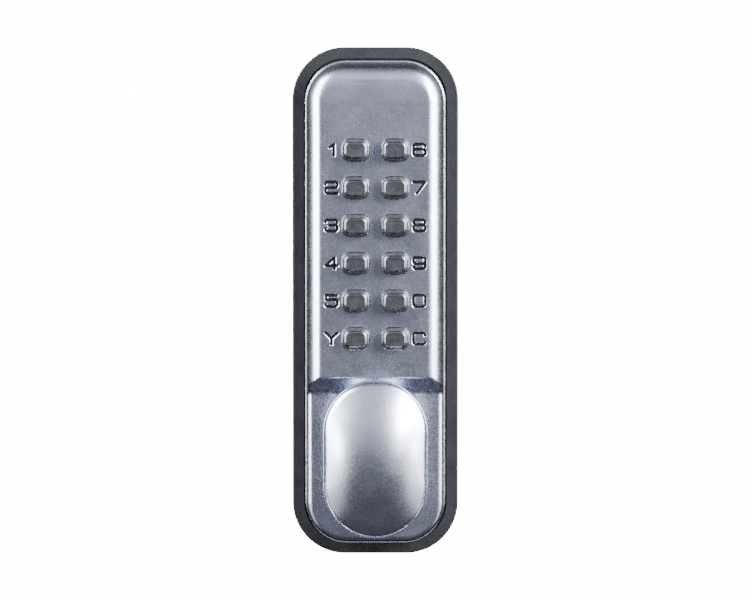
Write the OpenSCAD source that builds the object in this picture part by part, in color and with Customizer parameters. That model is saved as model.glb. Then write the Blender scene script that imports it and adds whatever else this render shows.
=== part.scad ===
// Mechanical push-button door lock, outside unit.
// +Z is up and the face of the door is the plane y = 0. The lock stands out of the door towards -Y.
// The origin is on the axis of the turn knob and the square spindle.
// Depths are called "out": millimetres out of the door face. Negative values lie inside the door.

/* [Cover] */
// Width of the cover at its lip
cover_w = 41.4; // [40:0.1:43]
// Height of the cover at its lip
cover_h = 142.2; // [141:0.1:143]
// Corner radius of the lip
cover_r = 12.3; // [11:0.1:13]
// How far the raised keypad face stands out of the door
face_out = 21; // [20.5:0.1:22]
// How far the platform under the knob stands out of the door
platform_out = 15; // [14.8:0.1:15.2]
// Radius of the broad shoulder along the raised face
shoulder_r = 6.7; // [6.5:0.1:6.9]
// Slope of the shoulder where it meets the raised face, in degrees
shoulder_slope = 22; // [20:1:24]
// Thickness of the cast wall
wall = 2; // [1.8:0.1:2.2]
// Lean of the cast side walls, from the lip to where the edge rounds
draft = 0.2; // [0.1:0.1:0.4]

/* [Gasket] */
// Width of the rubber gasket
gasket_w = 49; // [47:0.5:52]
// Height of the rubber gasket
gasket_h = 150; // [148:0.5:153]
// Thickness of the rubber gasket
gasket_t = 2.5; // [2:0.1:2.5]

/* [Keypad] */
// Distance between the two columns of buttons
column_pitch = 11.5; // [11.4:0.1:11.8]
// Distance between rows of buttons
row_pitch = 11; // [10.9:0.1:11.2]
// Height of the bottom row above the knob axis
bottom_row_z = 34.8; // [34.8:0.1:35.4]
// Width of a button
button_w = 7.8; // [7.5:0.1:8]
// Height of a button
button_h = 6.2; // [6:0.1:6.4]
// How far a button stands out of the door
button_out = 25; // [24.5:0.1:25.5]

/* [Knob] */
// Width of the turn knob
knob_w = 30.4; // [29:0.1:31]
// Length of the turn knob
knob_h = 46.3; // [45:0.1:47]
// Underside of the knob, out of the door
knob_under = 24; // [23.5:0.1:24.5]
// Edge where the knob's dome starts, out of the door
knob_rim = 28.5; // [27:0.1:29]
// Top of the knob's dome, out of the door
knob_top = 33.6; // [33:0.1:35]

/* [Fixing] */
// Side of the square spindle
spindle_side = 8; // [7:0.5:8]
// Length of the spindle past the door face
spindle_reach = 45; // [30:1:70]
// Radius of the thread in the fixing posts
post_thread_r = 2.1; // [2:0.05:2.2]
// How far the fixing posts reach into the door
post_reach = 8; // [4:1:12]

/* [Hidden] */
$fn = 64;
fit = 0.02;        // clearance of parts that are pressed or screwed together
run = 0.04;        // radial clearance of a shaft that turns in a bush
gap = 0.3;         // clearance of loose moving parts

// cover
cover_mid = 44.8;
cover_top = cover_mid + cover_h / 2;
lip_w = 0.4;
lip_out = 3.4;
base_w = cover_w - 2 * lip_w;
base_h = cover_h - 2 * lip_w;
platform_edge_r = 1.1;
cavity_w = base_w - 2 * (draft + wall);
cavity_h = base_h - 2 * (draft + wall);
cavity_r = cover_r - lip_w - draft - wall;
cavity_mid = cover_mid;
gasket_r = 15.5;
slope_top_z = 23.2;
slope_foot_z = 19;
face_in = face_out - wall;
platform_in = platform_out - wall;
keypad_inset = 3.6;
keypad_cavity_z = [slope_top_z + 1.6, cover_top - lip_w - keypad_inset];
keypad_cavity_w = base_w - 2 * keypad_inset;
keypad_cavity_r = cover_r - lip_w - keypad_inset;

// depths of the mechanism
plate_back = gasket_t;
plate_front = 3.5;
chamber_back = 4.5;
code_back = 7.6;
code_front = 8.6;
clear_back = 10.4;
clear_front = 11.2;
chamber_in = 11.5;
chamber_front = 13;
disc_back = 9.2;
disc_front = 11.2;

// keypad
key_names = ["1", "2", "3", "4", "5", "y", "6", "7", "8", "9", "0", "c"];
rows = len(key_names) / 2;
top_row_z = bottom_row_z + row_pitch * (rows - 1);
clear_key = len(key_names) - 1;
window_gap = 0.15;
button_r = 2.3;
button_edge = 0.7;
flange_t = 1;
flange_front = face_in - 0.1;
stem_r = 2.1;
stem_end = 13.9;
key_spring_r = 3.4;
key_wire = 0.5;
blade_w = 3;
blade_h = 4.4;
blade_back = 4;
notch_w = 1.2;
notch_back = 7.2;
notch_front = 11.3;
wedge_slope = 0.6;
wedge_reach = 1.5;
wedge_h = 2;
peg_x = [-3, -1.9];
peg_z = top_row_z - row_pitch / 2;
peg_back = 9.2;
clear_spring_x = 4;
clear_spring_out = 10.2;
clear_x = [-9.9, 11.4];
clear_z = [bottom_row_z - 4, top_row_z + 3.6];
bar_half = 2.2;
bar_top = top_row_z - 2;
finger_half = 5.25;
arm_z = 11;
yoke_x = [4.3, 11.6];
yoke_half = 3.2;
yoke_slot_x = 9.6;
slot_half = 1.5;

// chamber
chamber_w = 26;
chamber_z = [bottom_row_z - 10, top_row_z + 10];
chamber_wall = 1.2;
hole_r = 2.9;
corner_x = 10.2;
corner_z = [chamber_z[0] + 3.2, chamber_z[1] - 3.2];
corner_r = 2.2;
chamber_screw_r = 1.2;
chamber_screw_head_r = 2.1;
chamber_screw_front = 17.5;
plate_window_w = 25.2;

// knob drive
shaft_r = 4;
tail_side = 5.6;
tail_end = 4.6;
bush_r = 6;
bush_flange_r = 7.5;
bush_back = 12;
neck_r = 9;
neck_end = 15.55;
cross_pin_r = 1.25;
cross_pin_out = 19.5;
circlip_out = 11.3;
circlip_t = 0.6;
groove_r = 3.5;
disc_r = 11;
ear_r = 14.4;
ear_angles = [-31, -14];
shaft_front = 29.4;
yoke_r = 8;
drive_pin_r = 1.2;
hub_r = 7;
hub_front = 6.8;
hub_back = -4;
socket_floor = 4.2;
coil_r = 7.8;
coil_wire_r = 0.35;
coil_turns = 2.75;
coil_out = [3.95, 6.25];
drive_pin_back = 7;

// fixing
post_r = 4;
post_z = [-16.5, 105];
plate_screw_x = 13;
plate_screw_z = [-12, 105.5];
plate_screw_r = 1.5;
plate_screw_head_r = 2.4;
plate_screw_front = 11;
boss_r = 2.6;
post_boss_back = [11.5, 13.2];
post_thread_l = 14;

function key_x(i) = (i < rows ? -1 : 1) * column_pitch / 2;
function key_z(i) = bottom_row_z + row_pitch * (rows - 1 - i % rows);
function arc(r, from, to, steps) =
    [for (i = [0 : steps]) let (a = from + (to - from) * i / steps) [r * cos(a), r * sin(a)]];

// An outline drawn in the plane of the door, as a slab between two depths.
module slab(from, to) {
    translate([0, -from, 0])
        rotate([90, 0, 0])
            linear_extrude(to - from)
                children();
}

// A profile drawn as [z, out], as a bar along X.
module bar_along_x(from, to) {
    translate([from, 0, 0])
        rotate([180, -90, 0])
            linear_extrude(to - from)
                children();
}

// A profile drawn as [x, out], as a bar along Z.
module bar_along_z(from, to) {
    translate([0, 0, from])
        mirror([0, 1, 0])
            linear_extrude(to - from)
                children();
}

module round_rect(w, h, r) {
    square([w - 2 * r, h], center = true);
    square([w, h - 2 * r], center = true);
    for (x = [-1, 1], z = [-1, 1])
        translate([x * (w / 2 - r), z * (h / 2 - r)])
            circle(r);
}

module disc(r, from, to, x = 0, z = 0) {
    translate([x, -from, z])
        rotate([90, 0, 0])
            cylinder(r = r, h = to - from);
}

module block(x, out, z) {
    translate([x[0], -out[1], z[0]])
        cube([x[1] - x[0], out[1] - out[0], z[1] - z[0]]);
}

module at_keys() {
    for (i = [0 : len(key_names) - 1])
        translate([key_x(i), 0, key_z(i)])
            children();
}

module at_corners(xs, zs) {
    for (x = [-xs, xs], z = zs)
        translate([x, 0, z])
            children();
}

// Round wire swept along points that lie on a cylinder about the Y axis; each ring is [angle, out].
module wire_about_y(r, wire_r, path, sides) {
    function place(p) = [r * cos(p[0]), -p[1], r * sin(p[0])];
    function along(i) =
        let (d = place(path[min(i + 1, len(path) - 1)]) - place(path[max(i - 1, 0)]))
        d / norm(d);
    points = [
        for (i = [0 : len(path) - 1], k = [0 : sides - 1])
            let (
                radial = [cos(path[i][0]), 0, sin(path[i][0])],
                other = cross(along(i), radial),
                turn = 360 * k / sides
            )
            place(path[i]) + wire_r * (cos(turn) * radial + sin(turn) * other / norm(other))
    ];
    sides_faces = [
        for (i = [0 : len(path) - 2], k = [0 : sides - 1])
            let (a = i * sides + k, b = i * sides + (k + 1) % sides)
            [a, a + sides, b + sides, b]
    ];
    ends = [
        [for (k = [0 : sides - 1]) k],
        [for (k = [sides - 1 : -1 : 0]) (len(path) - 1) * sides + k]
    ];
    polyhedron(points, concat(sides_faces, ends), convexity = 10);
}

// A compression spring standing between two depths.
module coil_spring(r, wire_r, from, to, turns, steps) {
    last = turns * steps;
    wire_about_y(r, wire_r, [
        for (i = [0 : last]) [360 * i / steps, from + wire_r + (to - from - 2 * wire_r) * i / last]
    ], 6);
}

// Housing

module gasket() {
    color("#2f3336")
        difference() {
            translate([0, 0, cover_mid])
                slab(0, gasket_t)
                    round_rect(gasket_w, gasket_h, gasket_r);
            translate([0, 0, cavity_mid])
                slab(-1, gasket_t + 1)
                    round_rect(cavity_w - 2, cavity_h - 2, cavity_r - 1);
        }
}

// Steps of a side wall from its foot inwards, each [inset, out]: a leaning face, then a round edge.
function side_wall(lean, edge_r, top) = concat(
    [[0, gasket_t]],
    [for (p = arc(edge_r, 0, 90, 8)) [lean + edge_r - p[0], top - edge_r + p[1]]]
);

// Steps of the raised face's side wall: a leaning face, then a broad arc that meets the face at a slope.
function shoulder_wall() = concat(
    [[0, gasket_t]],
    [
        for (i = [0 : 10])
            let (a = 90 - (90 - shoulder_slope) * i / 10)
            [
                draft + shoulder_r * (1 - sin(a)),
                face_out + shoulder_r * (cos(a) - cos(shoulder_slope))
            ]
    ]
);

// Both sides of a bar "width" wide that has this side wall.
function both_sides(width, side) = concat(
    [for (p = side) [width / 2 - p[0], p[1]]],
    [for (i = [len(side) - 1 : -1 : 0]) [side[i][0] - width / 2, side[i][1]]]
);

// The cover's outline raised with the given side wall all round.
module mound(side) {
    corner = cover_r - lip_w;
    top = side[len(side) - 1][1];
    translate([0, 0, cover_mid]) {
        bar_along_z(corner - base_h / 2, base_h / 2 - corner)
            polygon(both_sides(base_w, side));
        bar_along_x(corner - base_w / 2, base_w / 2 - corner)
            polygon(both_sides(base_h, side));
        for (x = [-1, 1], z = [-1, 1])
            translate([x * (base_w / 2 - corner), 0, z * (base_h / 2 - corner)])
                rotate([90, 0, 0])
                    rotate_extrude()
                        polygon(concat(
                            [[0, gasket_t]], [for (p = side) [corner - p[0], p[1]]], [[0, top]]
                        ));
    }
}

module cover_shape() {
    translate([0, 0, cover_mid])
        slab(gasket_t, lip_out)
            round_rect(cover_w, cover_h, cover_r);
    mound(side_wall(draft, platform_edge_r, platform_out));
    difference() {
        mound(shoulder_wall());
        bar_along_x(-cover_w, cover_w)
            polygon([
                [cover_top - cover_h, platform_out], [slope_foot_z, platform_out],
                [slope_top_z, face_out], [slope_top_z, face_out + 1],
                [cover_top - cover_h, face_out + 1]
            ]);
    }
}

module keypad_cavity() {
    height = keypad_cavity_z[1] - keypad_cavity_z[0];
    translate([0, keypad_cavity_z[0] + height / 2])
        round_rect(keypad_cavity_w, height, keypad_cavity_r);
    translate([-keypad_cavity_w / 2, keypad_cavity_z[0]])
        square([keypad_cavity_w, height / 2]);
}

module cover() {
    color("#c4c7cb")
        difference() {
            union() {
                difference() {
                    cover_shape();
                    translate([0, 0, cavity_mid])
                        slab(0, platform_in)
                            round_rect(cavity_w, cavity_h, cavity_r);
                    slab(platform_in - 1, face_in)
                        keypad_cavity();
                }
                at_corners(corner_x, corner_z)
                    disc(corner_r, chamber_front, face_in + 0.5);
                at_corners(plate_screw_x, [plate_screw_z[0]])
                    disc(boss_r, plate_front, platform_in + 0.5);
                at_corners(plate_screw_x, [plate_screw_z[1]])
                    disc(boss_r, plate_front, face_in + 0.5);
                disc(post_r + 1.5, post_boss_back[0], platform_in + 0.5, 0, post_z[0]);
                disc(post_r + 1.5, post_boss_back[1], face_in + 0.5, 0, post_z[1]);
            }
            at_keys()
                slab(face_in - 1, face_out + 1)
                    round_rect(button_w + 2 * window_gap, button_h + 2 * window_gap,
                               button_r + window_gap);
            at_corners(corner_x, corner_z)
                disc(chamber_screw_r + fit, chamber_front - 1, chamber_screw_front + 0.5);
            at_corners(plate_screw_x, plate_screw_z)
                disc(plate_screw_r + fit, plate_front - 1, plate_screw_front + 0.5);
            disc(bush_r + fit, platform_in - 1, platform_out + 1);
            disc(post_r + fit, 0, platform_in, 0, post_z[0]);
            disc(post_r + fit, 0, face_in, 0, post_z[1]);
        }
}

module back_plate() {
    color("#b9b48f")
        difference() {
            translate([0, 0, cavity_mid])
                slab(plate_back, plate_front)
                    round_rect(cavity_w - 0.4, cavity_h - 0.4, cavity_r);
            block([-plate_window_w / 2, plate_window_w / 2], [0, platform_in],
                  [chamber_z[0] + 0.6, chamber_z[1] - 0.6]);
            disc(hub_r + gap, 0, platform_in);
            at_corners(plate_screw_x, plate_screw_z)
                disc(plate_screw_r + 0.1, 0, platform_in);
            for (z = post_z)
                disc(post_r + 0.2, 0, platform_in, 0, z);
            disc(coil_wire_r + 0.2, 0, platform_in, 0, -coil_r);
        }
}

module back_plate_screws() {
    color("#8f9398")
        at_corners(plate_screw_x, plate_screw_z) {
            disc(plate_screw_head_r, plate_back - 1.2, plate_back);
            disc(plate_screw_r, plate_back - 0.1, plate_screw_front);
        }
}

module fixing_post(z, front) {
    color("#a9adb2")
        difference() {
            disc(post_r, -post_reach, front, 0, z);
            disc(post_thread_r, -post_reach - 1, post_thread_l - post_reach, 0, z);
        }
}

module chamber() {
    color("#b08d4f")
        difference() {
            union() {
                difference() {
                    block([-chamber_w / 2, chamber_w / 2], [chamber_back, chamber_front], chamber_z);
                    block([chamber_wall - chamber_w / 2, chamber_w / 2 - chamber_wall],
                          [0, chamber_in],
                          [chamber_z[0] + chamber_wall, chamber_z[1] - chamber_wall]);
                }
                at_corners(corner_x, corner_z)
                    disc(corner_r, chamber_back, chamber_in + 0.5);
                block(peg_x, [peg_back, chamber_in + 0.5], [peg_z - 1.2, peg_z + 1.2]);
            }
            at_keys()
                disc(hole_r, chamber_in - 1, chamber_front + 1);
            at_corners(corner_x, corner_z)
                disc(chamber_screw_r + 0.1, 0, chamber_front + 1);
            block([-bar_half - gap, bar_half + gap], [0, code_front + gap],
                  [chamber_z[0] - 1, chamber_z[0] + 2 * chamber_wall]);
            translate([key_x(clear_key), 0, key_z(clear_key)])
                block([-blade_w / 2 - wedge_reach - gap, 0], [chamber_in - 1, chamber_front + 1],
                      [-wedge_h / 2 - gap, wedge_h / 2 + gap]);
        }
}

module chamber_plate() {
    color("#c7a765")
        difference() {
            block([-chamber_w / 2, chamber_w / 2], [plate_front + 0.1, chamber_back], chamber_z);
            at_keys()
                block([-blade_w / 2 - gap, blade_w / 2 + gap], [0, chamber_in],
                      [-blade_h / 2 - gap, blade_h / 2 + gap]);
            at_corners(corner_x, corner_z)
                disc(chamber_screw_r + 0.1, 0, chamber_in);
        }
}

module chamber_screws() {
    color("#8f9398")
        at_corners(corner_x, corner_z) {
            disc(chamber_screw_head_r, plate_front - 1.2, plate_front + 0.1);
            disc(chamber_screw_r, plate_front, chamber_screw_front);
        }
}

// Keypad

module button(i) {
    color("#9c9a94")
        translate([key_x(i), 0, key_z(i)]) {
            slab(flange_front - flange_t, flange_front)
                square([button_w + 1.6, button_h + 1.6], center = true);
            slab(flange_front - 0.1, button_out - button_edge)
                round_rect(button_w, button_h, button_r);
            slab(flange_front, button_out)
                round_rect(button_w - 2 * button_edge, button_h - 2 * button_edge,
                           button_r - button_edge);
            disc(stem_r, stem_end, flange_front - 0.1);
        }
}

module tumbler(i) {
    inner = i < rows ? 1 : -1;
    color("#c7a765")
        translate([key_x(i), 0, key_z(i)]) {
            difference() {
                block([-blade_w / 2, blade_w / 2], [blade_back, stem_end],
                      [-blade_h / 2, blade_h / 2]);
                translate([inner * blade_w / 2, 0, 0])
                    block([-notch_w, notch_w], [notch_back, notch_front], [-blade_h, blade_h]);
            }
            if (i == clear_key)
                bar_along_z(-wedge_h / 2, wedge_h / 2)
                    wedge(inner);
        }
}

// The sloped face on the clearing tumbler, which pushes the clearing slide aside.
module wedge(inner) {
    root = blade_w / 2 - 0.1;
    start = blade_w / 2 + wedge_slope * (notch_front - clear_front);
    tip = blade_w / 2 + wedge_reach;
    polygon([for (p = [
        [root, notch_front], [start, notch_front],
        [tip, clear_front + wedge_reach / wedge_slope], [tip, stem_end], [root, stem_end]
    ]) [inner * p[0], p[1]]]);
}

module button_spring(i) {
    color("#d0d2d5")
        translate([key_x(i), 0, key_z(i)])
            coil_spring(key_spring_r, key_wire / 2, chamber_front + 0.05,
                        flange_front - flange_t - 0.05, 3, 13);
}

module code_slide() {
    color("#c7a765")
        slab(code_back, code_front)
            difference() {
                union() {
                    translate([-bar_half, arm_z])
                        square([2 * bar_half, bar_top - arm_z]);
                    for (i = [0 : rows - 2])
                        translate([0, key_z(i) - row_pitch / 2])
                            square([2 * finger_half, 3], center = true);
                    translate([-bar_half, arm_z])
                        square([yoke_x[1] + bar_half, 3]);
                    translate([yoke_x[0], -yoke_half])
                        square([yoke_x[1] - yoke_x[0], arm_z + yoke_half + 0.1]);
                }
                translate([yoke_x[0] - 1, -slot_half])
                    square([yoke_slot_x - yoke_x[0] + 1, 2 * slot_half]);
            }
}

module clear_slide() {
    color("#d8b873")
        difference() {
            block(clear_x, [clear_back, clear_front], clear_z);
            at_keys()
                block([-blade_w / 2 - gap, blade_w / 2 + gap + wedge_reach], [0, chamber_front],
                      [-blade_h / 2 - gap, blade_h / 2 + gap]);
            block([peg_x[0] - gap, clear_spring_x], [0, chamber_front], [peg_z - 1.6, peg_z + 1.6]);
        }
}

module clear_spring() {
    color("#d0d2d5")
        translate([peg_x[1], -clear_spring_out, peg_z])
            rotate([0, 0, 90])
                coil_spring(1, 0.15, 0, clear_spring_x - peg_x[1], 5, 10);
}

// Knob and drive

module knob() {
    dome_r = (pow(knob_w / 2, 2) + pow(knob_top - knob_rim, 2)) / (2 * (knob_top - knob_rim));
    straight = knob_h - knob_w;
    color("#c4c7cb")
        difference() {
            union() {
                intersection() {
                    slab(knob_under, knob_top)
                        round_rect(knob_w, knob_h, knob_w / 2 - 0.01);
                    translate([0, dome_r - knob_top, 0])
                        union() {
                            translate([0, 0, -straight / 2])
                                cylinder(r = dome_r, h = straight, $fn = 96);
                            for (z = [-1, 1])
                                translate([0, 0, z * straight / 2])
                                    sphere(dome_r, $fn = 96);
                        }
                }
                disc(neck_r, neck_end, knob_under + 0.5);
            }
            disc(shaft_r + fit, neck_end - 1, shaft_front + 0.1);
            cross_hole();
        }
}

module cross_hole() {
    translate([-knob_w, -cross_pin_out, 0])
        rotate([0, 90, 0])
            cylinder(r = cross_pin_r + fit, h = 2 * knob_w);
}

module knob_shaft() {
    color("#a9adb2")
        difference() {
            union() {
                disc(shaft_r, disc_front, shaft_front);
                slab(tail_end, disc_front + 0.1)
                    square(tail_side, center = true);
            }
            difference() {
                disc(shaft_r + 1, circlip_out - 0.05, circlip_out + circlip_t + 0.05);
                disc(groove_r, 0, knob_top);
            }
            cross_hole();
        }
}

module knob_pin() {
    color("#8f9398")
        translate([0.3 - neck_r, -cross_pin_out, 0])
            rotate([0, 90, 0])
                cylinder(r = cross_pin_r, h = 2 * neck_r - 0.6);
}

module knob_bush() {
    color("#b08d4f")
        difference() {
            union() {
                disc(bush_r, bush_back, platform_out);
                disc(bush_flange_r, bush_back, platform_in);
            }
            disc(shaft_r + run, 0, knob_top);
        }
}

module knob_washer() {
    color("#e6e6e0")
        difference() {
            disc(neck_r - 1.5, platform_out + 0.05, neck_end);
            disc(shaft_r + 0.1, 0, knob_top);
        }
}

module circlip() {
    color("#6f7378")
        difference() {
            disc(groove_r + 2, circlip_out, circlip_out + circlip_t);
            disc(groove_r + 0.05, 0, knob_top);
            block([-1.6, 1.6], [0, knob_top], [0, shaft_r * 2]);
        }
}

module drive_disc() {
    color("#b9b48f")
        difference() {
            union() {
                disc(disc_r, disc_back, disc_front);
                for (side = [0, 1])
                    mirror([side, 0, 0])
                        slab(disc_back, disc_front)
                            polygon(concat(
                                arc(disc_r - 1, ear_angles[1], ear_angles[0], 3),
                                arc(ear_r, ear_angles[0], ear_angles[1], 6)
                            ));
            }
            slab(0, knob_top)
                square(tail_side + 2 * fit, center = true);
            disc(drive_pin_r + fit, 0, knob_top, yoke_r);
            disc(coil_wire_r + 0.1, 0, knob_top, -coil_r);
        }
}

module drive_pin() {
    color("#8f9398")
        disc(drive_pin_r, drive_pin_back, disc_front, yoke_r);
}

module spindle_hub() {
    color("#a9adb2")
        difference() {
            disc(hub_r, hub_back, hub_front);
            slab(tail_end - 0.1, knob_top)
                square(tail_side + 2 * fit, center = true);
            slab(-spindle_reach, socket_floor)
                square(spindle_side + 0.1, center = true);
        }
}

module spindle() {
    color("#8f9398")
        slab(-spindle_reach, socket_floor - 0.1)
            square(spindle_side, center = true);
}

module return_spring() {
    steps = 16;
    last = coil_turns * steps;
    color("#d0d2d5")
        wire_about_y(coil_r, coil_wire_r, concat(
            [[-90, plate_back + 0.2]],
            [for (i = [0 : last]) [-90 + 360 * i / steps, coil_out[0] + (coil_out[1] - coil_out[0]) * i / last]],
            [[180, disc_front - 0.6]]
        ), 8);
}

gasket();
cover();
back_plate();
back_plate_screws();
fixing_post(post_z[0], platform_in);  // fixing_post_lower
fixing_post(post_z[1], face_in);  // fixing_post_upper
chamber();
chamber_plate();
chamber_screws();
knob();
knob_shaft();
knob_pin();
knob_bush();
knob_washer();
circlip();
drive_disc();
drive_pin();
spindle_hub();
return_spring();
spindle();
code_slide();
clear_slide();
clear_spring();
for (i = [0 : len(key_names) - 1]) {
    button(i);
    tumbler(i);
    button_spring(i);
}
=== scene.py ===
"""Mechanical push-button door lock, outside unit: its looks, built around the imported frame.

Shapes are worked out in millimetres as (x, out, z), where out is the distance out of the door face,
and every mesh is written in metres in the frame's own axes: x, y = -out, z.
"""

import math

import bmesh
import bpy
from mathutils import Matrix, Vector
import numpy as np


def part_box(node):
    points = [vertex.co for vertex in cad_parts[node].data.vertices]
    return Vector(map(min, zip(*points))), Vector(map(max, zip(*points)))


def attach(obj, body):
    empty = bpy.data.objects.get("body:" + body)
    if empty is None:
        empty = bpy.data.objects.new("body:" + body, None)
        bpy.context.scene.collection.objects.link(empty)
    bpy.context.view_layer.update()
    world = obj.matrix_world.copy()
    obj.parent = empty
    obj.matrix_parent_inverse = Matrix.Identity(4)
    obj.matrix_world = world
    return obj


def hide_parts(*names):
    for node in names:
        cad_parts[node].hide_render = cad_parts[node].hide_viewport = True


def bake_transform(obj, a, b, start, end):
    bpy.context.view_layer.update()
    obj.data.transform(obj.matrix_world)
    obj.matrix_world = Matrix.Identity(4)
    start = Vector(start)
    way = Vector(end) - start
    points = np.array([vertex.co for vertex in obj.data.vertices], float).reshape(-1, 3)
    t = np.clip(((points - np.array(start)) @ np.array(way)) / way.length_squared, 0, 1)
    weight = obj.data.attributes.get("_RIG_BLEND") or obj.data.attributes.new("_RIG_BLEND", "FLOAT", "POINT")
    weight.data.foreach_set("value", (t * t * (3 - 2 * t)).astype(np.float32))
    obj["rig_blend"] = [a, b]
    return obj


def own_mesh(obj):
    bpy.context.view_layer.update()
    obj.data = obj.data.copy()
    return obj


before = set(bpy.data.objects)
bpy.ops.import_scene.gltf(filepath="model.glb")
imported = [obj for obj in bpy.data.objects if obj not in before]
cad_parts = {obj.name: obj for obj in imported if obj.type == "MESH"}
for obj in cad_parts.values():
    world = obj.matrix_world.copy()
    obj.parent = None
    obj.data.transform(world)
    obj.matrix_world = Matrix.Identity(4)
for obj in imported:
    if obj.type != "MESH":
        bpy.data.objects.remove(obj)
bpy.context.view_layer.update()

MM = 0.001
MICRON = 0.000001
KEYS = ["1", "2", "3", "4", "5", "y", "6", "7", "8", "9", "0", "c"]

# ---------------------------------------------------------------- the frame's places, in millimetres


class Place:
    """A CAD node's box: x and z ranges, and how far out of the door it starts and ends."""

    def __init__(self, node):
        low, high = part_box(node)
        self.x0, self.x1 = low.x / MM, high.x / MM
        self.z0, self.z1 = low.z / MM, high.z / MM
        self.back, self.front = -high.y / MM, -low.y / MM
        self.x, self.z = (self.x0 + self.x1) / 2, (self.z0 + self.z1) / 2
        self.half_w, self.half_h = (self.x1 - self.x0) / 2, (self.z1 - self.z0) / 2


COVER = Place("cover")
GASKET = Place("gasket")
KNOB = Place("knob")
BUSH = Place("knob_bush")
SPINDLE = Place("spindle")

# ---------------------------------------------------------------- sizes of the visible shapes, in mm

# cover: its lip, side walls and the rim that sits in the gasket
LIP_W = 0.4
LIP_OUT = 3.4
CORNER_R = 12.3
DRAFT = 0.2
WALL = 2.0
RIM_W = LIP_W + DRAFT + WALL
CORNER_STEPS = 16

# cover: the rounded shoulder, and the radii that break its edge to the face, wider along the top
SHOULDER_R = 6.7
SHOULDER_TILT = math.radians(22.0)
SHOULDER_FOOT_TILT = math.radians(88.0)
SHOULDER_CENTRE = COVER.front - SHOULDER_R * math.cos(SHOULDER_TILT)
SHOULDER_STEPS = 14
BREAK_R = 4.0
TOP_BREAK_R = 9.0
BREAK_STEPS = 8

# cover: the platform, the slope up to the keypad face, and the face's fall toward the top; the hollow
# behind the slope lies a shift higher, and the shoulder's edge is soft where the face's fall is below
# a share of the slope's height
PLATFORM_OUT = 15.0
PLATFORM_EDGE = 2.0
RIDGE_R = 0.35
SLOPE_TOP_Z = 23.2
SLOPE_FOOT_Z = 19.0
SLOPE_TOP_R = 0.8
SLOPE_FOOT_R = 2.2
SLOPE_CUTS = 9
HOLLOW_SHIFT = 2.4
CROWN_Z = 95.0
CROWN_DROP = 0.3
FACE_SHARE = 0.06

# openings in the cover: the buttons' windows and the bore of the knob's bush
WINDOW_GAP = 0.15
WINDOW_CHAMFER = 0.22
BORE_R = BUSH.half_w - 1.48

# marks: their place and size, half of their cross-section as (aside, above the face), how their strokes
# are bent, and the depths between which they are coloured dark: a filling, with painted shade deep in the
# grooves
MARK_REACH = 7.05
MARK_HALF_W = 1.72
MARK_HALF_H = 1.64
MARK_FIELD = 2.5
MARK_SECTION = (
    (0.24, -0.3), (0.34, -0.2), (0.41, -0.1), (0.49, -0.035), (0.57, 0.006), (0.61, 0.3),
)
MARK_SINK = 0.003
SHARP = 0.0
BEND = 0.23
BEND_STEPS = 6
POINT_GAP = 0.1
PAINT_DEPTH = 0.105
PAINT_FLOOR = 0.5

# gasket, buttons, knob and the springs' flat end turns
GASKET_R = 15.5
BUTTON_R = 2.3
BUTTON_FLANGE = 0.8
BUTTON_STEM = 4.0
KNOB_UNDER_OUT = 24.0
KNOB_RIM_OUT = 28.5
DOME_INSET = 0.68
DOME_STEPS = 30
REST_TURNS = 0.75

# ---------------------------------------------------------------- materials

# most noise values lie in this range
NOISE_LOW, NOISE_HIGH = 0.3, 0.7


def new_material(name):
    """An empty material with its nodes, its links and its main shader."""
    material = bpy.data.materials.new(name)
    material.use_nodes = True
    nodes = material.node_tree.nodes
    return material, nodes, material.node_tree.links, nodes["Principled BSDF"]


def noise(nodes, links, scale, detail=3.0, stretch=None):
    """Noise at a number of cells per metre; stretch squeezes it along an axis."""
    coords = nodes.new("ShaderNodeTexCoord")
    texture = nodes.new("ShaderNodeTexNoise")
    texture.inputs["Scale"].default_value = scale
    texture.inputs["Detail"].default_value = detail
    texture.inputs["Roughness"].default_value = 0.6
    source = coords.outputs["Object"]
    if stretch:
        mapping = nodes.new("ShaderNodeMapping")
        mapping.inputs["Scale"].default_value = stretch
        links.new(source, mapping.inputs["Vector"])
        source = mapping.outputs["Vector"]
    links.new(source, texture.inputs["Vector"])
    return texture.outputs["Fac"]


def ranged(nodes, links, source, low, high, start=NOISE_LOW, end=NOISE_HIGH):
    """A value spread from start..end to low..high."""
    spread = nodes.new("ShaderNodeMapRange")
    spread.inputs["From Min"].default_value = start
    spread.inputs["From Max"].default_value = end
    spread.inputs["To Min"].default_value = low
    spread.inputs["To Max"].default_value = high
    links.new(source, spread.inputs["Value"])
    return spread.outputs["Result"]


def ramp(nodes, links, source, dark, light):
    """A colour between dark and light that follows a noise value."""
    colours = nodes.new("ShaderNodeValToRGB")
    first, last = colours.color_ramp.elements
    first.position, first.color = NOISE_LOW, (*dark, 1)
    last.position, last.color = NOISE_HIGH, (*light, 1)
    links.new(source, colours.inputs["Fac"])
    return colours.outputs["Color"]


def bump(nodes, links, source, distance, strength, normal=None):
    """A normal roughened by a value over a distance in metres, on top of another normal."""
    node = nodes.new("ShaderNodeBump")
    node.inputs["Distance"].default_value = distance
    node.inputs["Strength"].default_value = strength
    links.new(source, node.inputs["Height"])
    if normal:
        links.new(normal, node.inputs["Normal"])
    return node.outputs["Normal"]


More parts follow.
